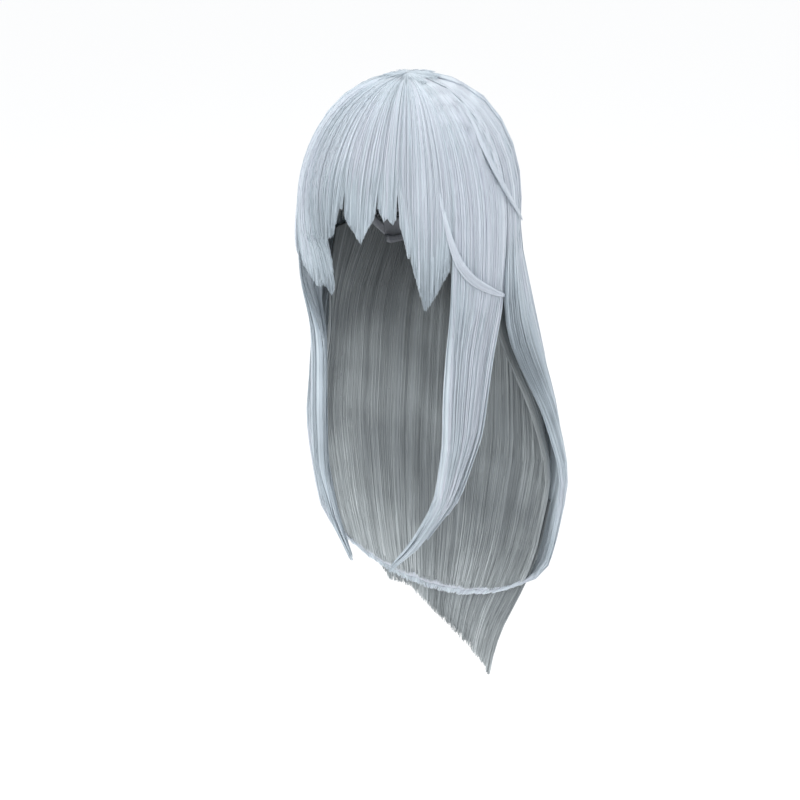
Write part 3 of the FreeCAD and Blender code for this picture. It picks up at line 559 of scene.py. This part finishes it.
def smallWisp(sign, stations):
    rows = np.array(stations, float)
    share = np.linspace(0, 1, len(rows))
    fine = np.linspace(0, 1, 201)
    kernel = np.hanning(33)[1:-1]
    kernel /= kernel.sum()
    table = []
    for number in range(5):
        line = np.pad(np.interp(fine, share, rows[:, number]), 15, "reflect", reflect_type="odd")
        table.append(np.convolve(line, kernel, "valid"))

    def path(w, v, d):
        w, v, d = np.broadcast_arrays(w, v, d)
        angle, z, wide, thick, lift = (np.interp(v, fine, column) for column in table)
        here = domeSpot(sign * angle, z, lift + thick * (1 + d))
        ahead, behind = (domeSpot(sign * np.interp(v + step, fine, table[0]), np.interp(v + step, fine, table[1]),
                                  lift) for step in (0.02, -0.02))
        along = ahead - behind
        along /= np.linalg.norm(along, axis=-1, keepdims=True) + 1e-9
        out = here / np.array([1.0, 1.25, 1.9])  # near enough square to the dome
        out /= np.linalg.norm(out, axis=-1, keepdims=True)
        return here + np.cross(along, out) * (wide * w)[..., None]

    return path, float(rows[:, 2].max() * 2)


for label, (sign, stations) in smallLocks.items():
    piece = hairPiece(titled(label), [smallWisp(sign, stations)], smallSpec, outerHair, [label])
    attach(piece, "cap")

# the long hair at the back
backHem = {"height": -389, "drop": 98, "halfWidth": 166}  # its sides, and how far the middle hangs below them
shares = np.linspace(-1, 1, 81)
heights = np.arange(-330.0, -520.0, -2.0)
hemDrops = []
for share in shares:  # where each part of the curtain meets the rounded hem
    aside = onCurtain(share, heights, 0.0)[:, 0] / backHem["halfWidth"]
    hem = backHem["height"] - backHem["drop"] * np.sqrt(np.clip(1 - aside ** 2, 0, 1))
    hemDrops.append(heights[np.argmax(heights <= hem)])


def hemDrop(share):
    return np.interp(share, shares, hemDrops)


def backWisp(start, end, lift, longer, spec):
    middle, half = (start + end) / 2, (end - start) / 2

    def path(w, v, d):
        turned = smooth(spec["turnFrom"], 1, v)
        share = middle + half * (1 - 0.12 * smooth(0.85, 1, v)) * w
        finish = dome["arc"] - hemDrop(middle + half * w) + longer
        body = spec["thick"] * (0.2 + 0.8 * smooth(0, 0.3, v)) * (1 - 0.4 * turned)
        level = between(lift, spec["lift"], turned) + body * d - spec["curl"] * turned ** 2
        spot = onBack(share, between(dome["rootGap"], finish, v), level)
        spot[..., 2] += spec["rise"] * turned ** 3
        return spot

    # painted shade over the middle of the length, on the wisps near the front edges of the back hair
    return path, abs(end - start) * 235, 0.5 * smooth(0.72, 0.95, abs(middle))


# the back hair darkens towards its ends as painted shade and gets a painted highlight along its rolled hem
backSpec = {"wisps": 12, "overlap": 0.008, "lift": -4, "thick": 3.2, "turnFrom": 0.93, "curl": 21, "rise": 6,
            "strands": 9, "radius": 0.35, "wander": 4.5, "ragged": 0.02, "steps": 26, "lockWidth": 3.6,
            "depths": (0.1, 0.8), "column": 1.5, "rows": 54, "top": 0.45, "under": 0.9, "reach": 0.99,
            "tones": (0.4, 0.75), "matTones": (0.3, 0.6), "dusk": 0.25, "rim": 0.45}
panels = {"Left": (0.36, 1.0, 63), "Centre": (-0.36, 0.36, 56), "Right": (-1.0, -0.36, 50)}  # from, to, seed
for label, (low, high, seed) in panels.items():
    edges = np.linspace(low, high, backSpec["wisps"] + 1)
    wisps = [backWisp(a - backSpec["overlap"], b + backSpec["overlap"], backSpec["lift"] + dice.uniform(-1.2, 1.2),
                      dice.uniform(-0.7, 0.7), backSpec) for a, b in zip(edges, edges[1:])]
    nodes = ["back_hair_" + label.lower()]
    nodes += ["side_hair_" + label.lower(), "back_crown_" + label.lower()] if label != "Centre" else []
    piece = hairPiece("BackHair" + label, wisps, {**backSpec, "seed": seed}, outerHair, nodes)
    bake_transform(piece)

underHem = np.array([  # x and height of the lower edge of the longest hair
    (-160, -330), (-120, -400), (-82, -448), (-60, -492), (-30, -492), (0, -520), (22, -530), (48, -550), (74, -572),
    (88, -584), (96, -566), (104, -520), (160, -440)], float)
tailDrops = np.full_like(shares, -450.0)
for attempt in range(12):  # settles on the height where each part of the tail meets its hem
    across = onCurtain(shares * 0.93, tailDrops, -16.0)[:, 0]
    tailDrops = (tailDrops + np.interp(across, underHem[:, 0], underHem[:, 1])) / 2


def tailWisp(start, end, lift, spec):
    middle, half, longer = (start + end) / 2, (end - start) / 2, dice.uniform(*spec["longer"])

    def path(w, v, d):
        gather = smooth(0.6, 1, v)
        whole = middle + half * w
        share = whole * (1 - 0.07 * gather) - half * 0.12 * gather * w
        low = np.interp(whole, shares, tailDrops) - longer
        level = lift + spec["thick"] * d * (1 - 0.5 * gather)
        return onCurtain(share, between(spec["start"], low, v), level)

    return path, abs(end - start) * 200


def sheetWisp(start, end, lift, spec):  # ends in the same rounded hem as the outer hair
    middle, half, shorter = (start + end) / 2, (end - start) / 2, dice.uniform(*spec["shorter"])

    def path(w, v, d):
        turned = smooth(spec["turnFrom"], 1, v)
        low = hemDrop((middle + half * w) * 0.97) + shorter
        share = middle + half * (1 - 0.1 * turned) * w
        level = lift + spec["thick"] * d * (1 - 0.5 * turned)
        return onCurtain(share, between(spec["start"], low, v), level)

    return path, abs(end - start) * 200


def sheetWisps(wisp, spec):  # "edges": from, to and how many
    low, high, count = spec["edges"]
    edges = np.linspace(low, high, count + 1)
    return [wisp(a - spec["overlap"], b + spec["overlap"], spec["lift"] + dice.uniform(-0.5, 0.5), spec)
            for a, b in zip(edges, edges[1:])]


# the under layer and its tail take the shaded fibre and low tones, painted shade inside the wig, and get lighter
# towards their ends as painted light
sheet = {"edges": (-1, 1, 20), "overlap": 0.012, "start": -22, "shorter": (8, 11), "lift": -20.4, "thick": 1.8,
         "turnFrom": 0.93, "strands": 7, "radius": 0.36, "wander": 5.0, "ragged": 0.04, "steps": 16, "seed": 71,
         "lockWidth": 4.2, "depths": (-0.9, 0.2), "column": 1.6, "rows": 30, "top": 0.5, "under": 0.8,
         "reach": 0.985, "tones": (0.05, 0.55), "matTones": (0.0, 0.35), "dusk": -0.3}
underHair = hairPiece("UnderLayer", sheetWisps(sheetWisp, sheet), sheet, innerHair,
                      ["under_layer_left", "under_layer_centre", "under_layer_right"])
tail = {**sheet, "edges": (-0.96, 0.86, 18), "start": -320, "longer": (-2, 3), "lift": -15.4, "thick": 1.6,
        "radius": 0.32, "ragged": 0.06, "steps": 11, "seed": 83, "rows": 20, "reach": 0.97, "tones": (0.05, 0.6),
        "matTones": (0.0, 0.4), "dusk": -0.25}
tailHair = hairPiece("UnderTail", sheetWisps(tailWisp, tail), tail, innerHair)
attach(tailHair, "back_hair")
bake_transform(underHair)


def fillWisp(middle, low, spec):  # hair between the cap and the dome
    finish = runAt(middle, low)

    def path(w, v, d):
        level = spec["lift"] + spec["thick"] * d * (0.3 + 0.7 * smooth(0, 0.3, v))
        return onDome(middle + spec["wispAngle"] / 2 * w, between(spec["start"], finish, v), level)

    return path, spec["wispAngle"] * 1.8


# the fill takes the shaded fibre: painted shade inside the wig
fill = {"wispAngle": 11, "start": 22, "lows": (-26, -14), "lift": -10, "thick": 4.5, "strands": 7, "radius": 0.42,
        "wander": 3.0, "ragged": 0.1, "steps": 10, "seed": 89, "lockWidth": 4.8, "depths": (-0.8, 0.5),
        "column": 2.0, "rows": 16, "top": 0.6, "under": 0.8, "reach": 0.95, "tones": (0.2, 0.7),
        "matTones": (0.2, 0.5), "dusk": 0.0}
fillWisps = [fillWisp(turn, dice.uniform(*fill["lows"]), fill) for turn in range(57, 305, 9)]
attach(hairPiece("InnerFill", fillWisps, fill, innerHair), "cap")

# the sewn cap: each cloth piece is its CAD solid, rounded onto the head
capSize = np.array([80.0, 99.0, 125.0])  # half sizes of the head's egg shape at the cap
capSides = 24  # flat sides round the solids' head shape
levels = np.array([-36.0, -18, 0, 18, 34, 48, 61, 73, 84])  # where the flat-sided egg has its corners
rimLine = np.array([(-110, 62), (-84, 62), (-58, 34), (-42, -9), (-12, -9), (-3, 15), (14, 15), (58, -42),
                    (84, -56), (110, -56)], float)  # y and height of the cap's lower edge


def roundOut(points):  # from the flat-sided head shape to the smooth one
    x, y, z = (points / capSize).T
    half = math.pi / capSides
    flat = np.cos(np.mod(np.arctan2(y, x), 2 * half) - half) / math.cos(half)
    rise = np.degrees(np.arctan2(z, np.hypot(x, y) * flat))
    upper = np.clip(np.searchsorted(levels, rise), 1, len(levels) - 1)
    below, above = levels[upper - 1], levels[upper]
    chord = np.cos(np.radians((above - below) / 2)) / np.cos(np.radians(rise - (above + below) / 2))
    return np.stack([x * flat / chord, y * flat / chord, z / chord], -1) * capSize


def clothMaterial(name, colour, weave, dark, roughness):  # woven threads in two directions, with painted shade in the hollows between them, a little uneven
    made, tree, shader = newMaterial(name, Roughness=roughness, Specular_IOR_Level=0.25)
    lie = add(tree, "ShaderNodeAttribute", attribute_name="lie").outputs["Vector"]
    wave = 0.314  # length of one wave at scale 1
    threads = [add(tree, "ShaderNodeTexWave", {"Vector": lie, "Scale": wave / pitch, "Distortion": 0.4},
                   bands_direction=way).outputs["Fac"] for way, pitch in zip("XY", weave)]
    both = add(tree, "ShaderNodeMath", {0: threads[0], 1: threads[1]}, operation="MULTIPLY").outputs[0]
    fleck = add(tree, "ShaderNodeTexNoise", {"Vector": lie, "Scale": 0.35, "Detail": 3.0}).outputs["Fac"]
    # the weave's hollows take the darker colour as painted shade; the noise adds random unevenness
    hollowShadeAndFleck = add(tree, "ShaderNodeMath", {0: both, 1: 0.75, 2: fleck}, operation="MULTIPLY_ADD").outputs[0]
    tint = add(tree, "ShaderNodeMix", {"Factor": hollowShadeAndFleck, 6: linear(dark), 7: linear(colour)}, data_type="RGBA")
    raised = add(tree, "ShaderNodeBump", {"Height": both, "Strength": 0.5, "Distance": 0.0003}).outputs["Normal"]
    tree.links.new(tint.outputs[2], shader.inputs["Base Color"])
    tree.links.new(raised, shader.inputs["Normal"])
    return made


def plainMaterial(name, colour, metal, roughness, grain):
    made, tree, shader = newMaterial(name, Metallic=metal, Base_Color=linear(colour))
    place = add(tree, "ShaderNodeTexCoord").outputs["Object"]
    mottle = add(tree, "ShaderNodeTexNoise", {"Vector": place, "Scale": grain, "Detail": 3.0}).outputs["Fac"]
    rough = add(tree, "ShaderNodeMapRange", {"Value": mottle, "To Min": roughness - 0.08, "To Max": roughness + 0.1})
    tree.links.new(rough.outputs["Result"], shader.inputs["Roughness"])
    return made


clothLooks = {  # material, thread pitch across and along in mm, roughness, colours of threads and of the painted shade in the hollows
    "cap_band": ("KnitBand", (0.9, 0.7), 0.85, ((172, 174, 180), (132, 134, 140))),
    "cap_ribbon": ("WovenRibbon", (1.4, 0.5), 0.7, ((180, 182, 188), (142, 144, 150))),
    "crown_skin": ("LaceBase", (0.8, 0.8), 0.6, ((206, 202, 196), (168, 162, 156))),
    "weft_header": ("StitchedTrack", (1.6, 1.1), 0.6, ((176, 180, 190), (112, 115, 124))),
    "loop_tape": ("WovenTape", (0.6, 0.9), 0.75, ((158, 160, 166), (116, 118, 124))),
    "elastic": ("RibbedElastic", (0.7, 2.2), 0.7, ((150, 152, 158), (104, 106, 112)))}
cloths = {}
for slot, (name, weave, roughness, colours) in clothLooks.items():
    thread, hollow = palette(*colours)
    cloths[slot] = clothMaterial(name, thread, weave, hollow, roughness)
hookPlastic = plainMaterial("NylonHook", (0.13, 0.13, 0.14), 0.0, 0.3, 220.0)
staySteel = plainMaterial("SprungSteel", (0.6, 0.61, 0.63), 1.0, 0.32, 400.0)
cloth = {"weld": 0.01, "longestEdge": 4, "around": 88, "over": 105}  # the last two: radii that the weave lies on


def clothPiece(node, material):
    shape = bmesh.new()
    shape.from_mesh(frame["nodes"][node].data)
    bmesh.ops.remove_doubles(shape, verts=shape.verts, dist=cloth["weld"] * mm)
    for attempt in range(4):
        longEdges = [edge for edge in shape.edges if edge.calc_length() > cloth["longestEdge"] * mm]
        if longEdges:
            bmesh.ops.subdivide_edges(shape, edges=longEdges, cuts=1)
            bmesh.ops.triangulate(shape, faces=[face for face in shape.faces if len(face.verts) > 3])
    mesh = bpy.data.meshes.new(node)
    shape.to_mesh(mesh)
    shape.free()
    flat = np.zeros(len(mesh.vertices) * 3, np.float32)
    mesh.vertices.foreach_get("co", flat)
    points = roundOut(flat.reshape(-1, 3) / mm)
    mesh.vertices.foreach_set("co", np.ascontiguousarray(points * mm, np.float32).ravel())
    around = np.arctan2(points[:, 0], points[:, 1]) * cloth["around"]
    rise = np.arctan2(points[:, 2], np.hypot(points[:, 0], points[:, 1])) * cloth["over"]
    setAttribute(mesh, "lie", "FLOAT_VECTOR", np.stack([around, rise, 0 * rise], -1))
    mesh.polygons.foreach_set("use_smooth", np.ones(len(mesh.polygons), bool))
    mesh.set_sharp_from_angle(angle=math.radians(50))
    mesh.materials.clear()
    mesh.materials.append(material)
    made = newObject(titled(node), mesh)
    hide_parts(node)
    return made


slots = {row["node"]: row["material_slot"] for row in frame["record"]["subparts"]}
for node, slot in slots.items():
    if node.startswith("adjuster_strap"):
        side, sign = ("left", 1) if node.endswith("left") else ("right", -1)
        strap = clothPiece(node, cloths["elastic"])
        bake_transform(strap)
    elif slot in cloths:
        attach(clothPiece(node, cloths[slot]), "cap")
    elif slot in ("hook_plastic", "stay_steel"):
        solid = frame["nodes"][node]
        solid.data.materials.clear()
        solid.data.materials.append(hookPlastic if slot == "hook_plastic" else staySteel)
print("cap:", sum(slot in cloths for slot in slots.values()), "cloth pieces")


def threadGroup():  # the stretch net is a honeycomb of threads
    tree, given = newGroup("NetThreads", {"Thread Radius": 0.0002})
    cells = add(tree, "GeometryNodeDualMesh", {"Mesh": given["Geometry"]}).outputs[0]
    lines = add(tree, "GeometryNodeMeshToCurve", {"Mesh": cells}).outputs["Curve"]
    outline = add(tree, "GeometryNodeCurvePrimitiveCircle", {"Resolution": 3, "Radius": given["Thread Radius"]})
    tubes = add(tree, "GeometryNodeCurveToMesh", {"Curve": lines, "Profile Curve": outline.outputs["Curve"]})
    return closeGroup(tree, tubes.outputs["Mesh"], given["Material"])


netLook = {"threadRadius": 0.2, "lift": 0.5, "overRim": 9,
           "tab": (-48, -6, 20), "panel": (56, -27)}  # where the ear tabs and the nape panel take its place
netThread = plainMaterial("NetThread", (0.74, 0.75, 0.78), 0.0, 0.7, 300.0)
netBall = bmesh.new()
bmesh.ops.create_icosphere(netBall, subdivisions=6, radius=1)
for spot in list(netBall.verts):
    x, y, z = np.array(spot.co) * (capSize + netLook["lift"])
    overRim = z > np.interp(y, rimLine[:, 0], rimLine[:, 1]) + netLook["overRim"]
    behindTab = netLook["tab"][0] < y < netLook["tab"][1] and z < netLook["tab"][2]
    behindPanel = y > netLook["panel"][0] and z < netLook["panel"][1]
    if overRim and not behindTab and not behindPanel:
        spot.co = Vector((x, y, z)) * mm
    else:
        netBall.verts.remove(spot)
netMesh = bpy.data.meshes.new("CrownNet")
netBall.to_mesh(netMesh)
netBall.free()
net = grownFrom("CrownNet", netMesh, threadGroup(), {"Thread Radius": netLook["threadRadius"] * mm,
                                                     "Material": netThread})
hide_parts("crown_net")
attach(net, "cap")
print("net", len(net.data.polygons), "faces")


def stitchGroup():  # stitches along both edges of the cap's band
    tree, given = newGroup("StitchRow", {"Pitch": 0.0034, "Stitch Length": 0.0024, "Thread Radius": 0.0003})
    line = add(tree, "GeometryNodeMeshToCurve", {"Mesh": given["Geometry"]}).outputs["Curve"]
    spots = add(tree, "GeometryNodeCurveToPoints", {"Curve": line, "Length": given["Pitch"]}, mode="LENGTH")
    bar = add(tree, "GeometryNodeMeshCylinder", {"Vertices": 6, "Radius": given["Thread Radius"],
                                                 "Depth": given["Stitch Length"]}).outputs["Mesh"]
    turned = add(tree, "FunctionNodeAlignRotationToVector", {"Vector": spots.outputs["Tangent"]}, axis="Z")
    placed = add(tree, "GeometryNodeInstanceOnPoints", {"Points": spots.outputs["Points"], "Instance": bar,
                                                        "Rotation": turned.outputs["Rotation"]})
    return closeGroup(tree, placed.outputs["Instances"], given["Material"])


stitching = {"rows": (2.2, 9.8), "lift": 1.6, "Pitch": 3.4, "Stitch Length": 2.4, "Thread Radius": 0.3}


def seamLine(sign, offset):  # from the middle of the front round one side to the middle of the nape
    wide, long, tall = capSize + stitching["lift"]
    along = -np.cos(np.linspace(0.02, math.pi - 0.02, 260)) * long
    height = np.interp(along, rimLine[:, 0], rimLine[:, 1]) + offset
    room = 1 - (along / long) ** 2 - (height / tall) ** 2
    keep = room > 0
    return np.stack([sign * wide * np.sqrt(room[keep]), along[keep], height[keep]], -1)


stitchThread = plainMaterial("StitchThread", (0.62, 0.63, 0.66), 0.0, 0.6, 300.0)
seams = [seamLine(sign, offset) for sign in (1, -1) for offset in stitching["rows"]]
ends = np.cumsum([len(seam) for seam in seams])
links = [(number, number + 1) for number in range(ends[-1] - 1) if number + 1 not in ends]
seamMesh = bpy.data.meshes.new("BandStitches")
seamMesh.from_pydata(np.concatenate(seams) * mm, links, [])
stitchSizes = {label: stitching[label] * mm for label in ("Pitch", "Stitch Length", "Thread Radius")}
stitches = grownFrom("BandStitches", seamMesh, stitchGroup(), {**stitchSizes, "Material": stitchThread})
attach(stitches, "cap")
print("stitches", len(stitches.data.polygons), "faces")


def directView(tree):  # 1 for what the camera sees, itself or in a gloss
    rays = add(tree, "ShaderNodeLightPath").outputs
    either = add(tree, "ShaderNodeMath", {0: rays["Is Camera Ray"], 1: rays["Is Glossy Ray"]}, operation="MAXIMUM")
    return add(tree, "ShaderNodeMath", {0: either.outputs[0], 1: rays["Is Transmission Ray"]},
               operation="MAXIMUM").outputs[0]


floorLook = {"half": 30, "height": -0.68, "colour": (0.97, 0.96, 0.95, 1), "glow": 0.65}  # metres
corners = [(x * floorLook["half"], y * floorLook["half"], floorLook["height"])
           for x, y in ((-1, -1), (1, -1), (1, 1), (-1, 1))]
floorMesh = bpy.data.meshes.new("Floor")
floorMesh.from_pydata(corners, [], [(0, 1, 2, 3)])
floorPaint, floorTree, floorShader = newMaterial("PaleFloor", Base_Color=floorLook["colour"], Roughness=0.8)
glow = add(floorTree, "ShaderNodeMath", {0: directView(floorTree), 1: floorLook["glow"]},
           operation="MULTIPLY").outputs[0]
whiteFloor = add(floorTree, "ShaderNodeEmission", {"Color": (1, 1, 1, 1), "Strength": 1.0}).outputs[0]
paleFloor = add(floorTree, "ShaderNodeMixShader", {0: glow, 1: floorShader.outputs[0], 2: whiteFloor}).outputs[0]
floorTree.links.new(paleFloor, floorTree.nodes["Material Output"].inputs["Surface"])
floorMesh.materials.append(floorPaint)
floor = newObject("Floor", floorMesh)

world = bpy.data.worlds.new("Studio")
world.use_nodes = True
bpy.context.scene.world = world
sky = world.node_tree
light = sky.nodes["Background"]
light.inputs["Color"].default_value, light.inputs["Strength"].default_value = (0.94, 0.97, 1.0, 1), 1.0
plainSky = add(sky, "ShaderNodeBackground", {"Color": (1, 1, 1, 1), "Strength": 1.0})
blendSky = add(sky, "ShaderNodeMixShader", {0: directView(sky), 1: light.outputs[0], 2: plainSky.outputs[0]})
sky.links.new(blendSky.outputs[0], sky.nodes["World Output"].inputs["Surface"])


def softBox(name, place, target, width, power, colour):
    lamp = bpy.data.lights.new(name, "AREA")
    lamp.shape = "RECTANGLE"
    lamp.size, lamp.size_y, lamp.energy, lamp.color = width, width * 0.8, power, colour
    made = newObject(name, lamp)
    made.location = place
    made.rotation_euler = (Vector(target) - Vector(place)).to_track_quat("-Z", "Y").to_euler()


lamps = {  # place, target, width in metres, power, colour
    "Key": ((-0.9, -1.6, 1.7), (0, 0, -0.1), 1.1, 24, (1.0, 0.99, 0.98)),
    "Side": ((-1.9, -0.3, 0.9), (0, 0, 0), 1.3, 9, (1.0, 0.99, 0.98)),
    "Fill": ((1.9, -1.2, 0.6), (0, 0, -0.2), 1.4, 9, (0.93, 0.95, 1.0)),
    "Top": ((0.2, 0.5, 2.0), (0, 0, 0), 1.2, 12, (1.0, 1.0, 1.0))}
for name, lamp in lamps.items():
    softBox(name, *lamp)

view = {"lens": 54.3, "turn": math.radians(27), "pitch": math.radians(25.9), "distance": 1.17, "aside": -0.0105,
        "height": 0.366}
camera = bpy.data.cameras.new("Camera")
camera.lens, camera.sensor_width = view["lens"], 36
turn, pitch = view["turn"], view["pitch"]
eye = Vector((math.sin(turn), -math.cos(turn), 0)) * view["distance"]
eye += Vector((math.cos(turn), math.sin(turn), 0)) * view["aside"]
eye.z = view["height"]
viewer = newObject("Camera", camera)
viewer.location = eye
viewer.rotation_euler = (math.pi / 2 - pitch, 0, turn)
bpy.context.scene.camera = viewer
bpy.context.scene.view_settings.view_transform = "Standard"
print("stage:", len(lamps), "lights, floor and camera")

print("finished")
